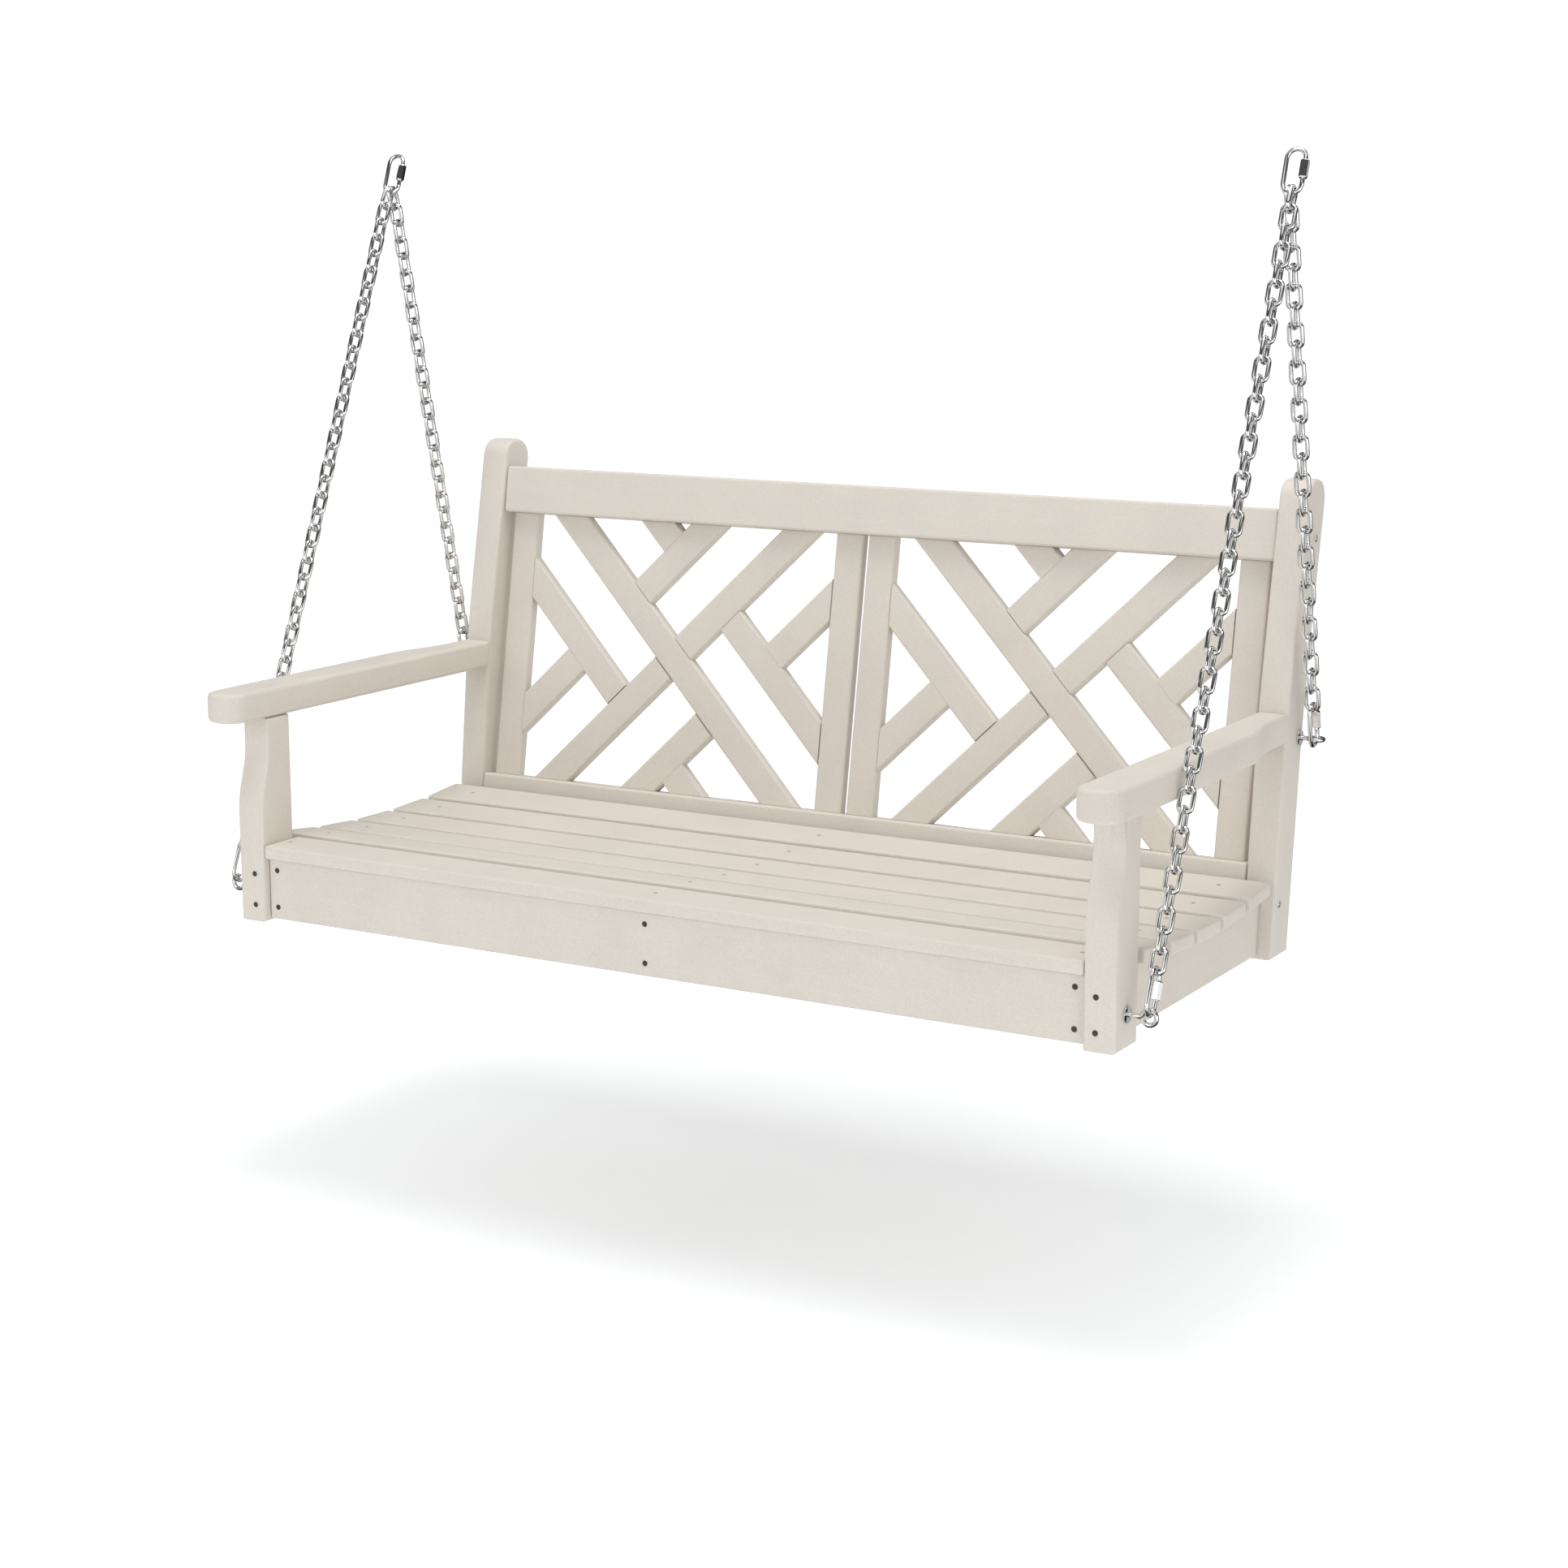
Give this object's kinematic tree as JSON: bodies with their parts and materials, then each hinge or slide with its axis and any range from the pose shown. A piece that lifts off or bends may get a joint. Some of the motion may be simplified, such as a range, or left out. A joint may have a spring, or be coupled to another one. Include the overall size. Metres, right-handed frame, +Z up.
{
  "type": "porch swing seat",
  "caption": "Porch swing seat of greige recycled-plastic lumber with a slatted seat, a fretwork lattice back and flat arms, hung on welded chains with threaded quick links.",
  "frame": {"origin": "midway between the two porch hooks, where they bear inside the top quick links", "axes": "+Z up, the seat faces -Y, +X to the left of someone seated"},
  "size_m": [1.384, 0.6888, 1.0288],
  "materials": {
    "lumber": "fine matt grain",
    "chain": "bright zinc",
    "fitting": "polished stainless"
  },
  "bodies": {
    "top_links": {"top_quick_link_left": "fitting", "top_quick_link_right": "fitting"},
    "swing": {"arm_left": "lumber", "arm_right": "lumber", "bottom_rail": "lumber", "centre_support": "lumber", "front_apron": "lumber", "front_chain_left": "chain", "front_chain_right": "chain", "front_eye_bolt_left": "fitting", "front_eye_bolt_right": "fitting", "front_post_left": "lumber", "front_post_right": "lumber", "front_quick_link_left": "fitting", "front_quick_link_right": "fitting", "inner_stile_left": "lumber", "inner_stile_right": "lumber", "lower_diagonal_left": "lumber", "lower_diagonal_right": "lumber", "lower_tee_left": "lumber", "lower_tee_right": "lumber", "main_diagonal_left": "lumber", "main_diagonal_right": "lumber", "outer_stile_left": "lumber", "outer_stile_right": "lumber", "rear_apron": "lumber", "rear_chain_left": "chain", "rear_chain_right": "chain", "rear_eye_bolt_left": "fitting", "rear_eye_bolt_right": "fitting", "rear_post_left": "lumber", "rear_post_right": "lumber", "rear_quick_link_left": "fitting", "rear_quick_link_right": "fitting", "seat_slat_1": "lumber", "seat_slat_2": "lumber", "seat_slat_3": "lumber", "seat_slat_4": "lumber", "seat_slat_5": "lumber", "seat_slat_6": "lumber", "side_apron_left": "lumber", "side_apron_right": "lumber", "side_tee_a_left": "lumber", "side_tee_a_right": "lumber", "side_tee_b_left": "lumber", "side_tee_b_right": "lumber", "top_rail": "lumber", "upper_diagonal_left": "lumber", "upper_diagonal_right": "lumber", "upper_tee_left": "lumber", "upper_tee_right": "lumber"},
    "front_quick_link_sleeve_left": {"front_quick_link_sleeve_left": "fitting"},
    "front_quick_link_sleeve_right": {"front_quick_link_sleeve_right": "fitting"},
    "rear_quick_link_sleeve_left": {"rear_quick_link_sleeve_left": "fitting"},
    "rear_quick_link_sleeve_right": {"rear_quick_link_sleeve_right": "fitting"},
    "top_quick_link_sleeve_left": {"top_quick_link_sleeve_left": "fitting"},
    "top_quick_link_sleeve_right": {"top_quick_link_sleeve_right": "fitting"}
  },
  "joints": [
    {"name": "swing", "type": "hinge", "parent": "top_links", "child": "swing", "pos_m": [0, -0.01813, -0.0498], "axis": [1, 0, 0], "range_deg": [-22, 22]},
    {"name": "front_sleeve_left", "type": "slide", "parent": "swing", "child": "front_quick_link_sleeve_left", "axis": [0, -0.3741, -0.9274], "range_m": [0, 0.0085]},
    {"name": "front_sleeve_right", "type": "slide", "parent": "swing", "child": "front_quick_link_sleeve_right", "axis": [0, -0.3741, -0.9274], "range_m": [0, 0.0085]},
    {"name": "rear_sleeve_left", "type": "slide", "parent": "swing", "child": "rear_quick_link_sleeve_left", "axis": [0, 0.2175, -0.9761], "range_m": [0, 0.0085]},
    {"name": "rear_sleeve_right", "type": "slide", "parent": "swing", "child": "rear_quick_link_sleeve_right", "axis": [0, 0.2175, -0.9761], "range_m": [0, 0.0085]},
    {"name": "top_sleeve_left", "type": "slide", "parent": "top_links", "child": "top_quick_link_sleeve_left", "axis": [0, -0.342, -0.9397], "range_m": [0, 0.0085]},
    {"name": "top_sleeve_right", "type": "slide", "parent": "top_links", "child": "top_quick_link_sleeve_right", "axis": [0, -0.342, -0.9397], "range_m": [0, 0.0085]}
  ]
}
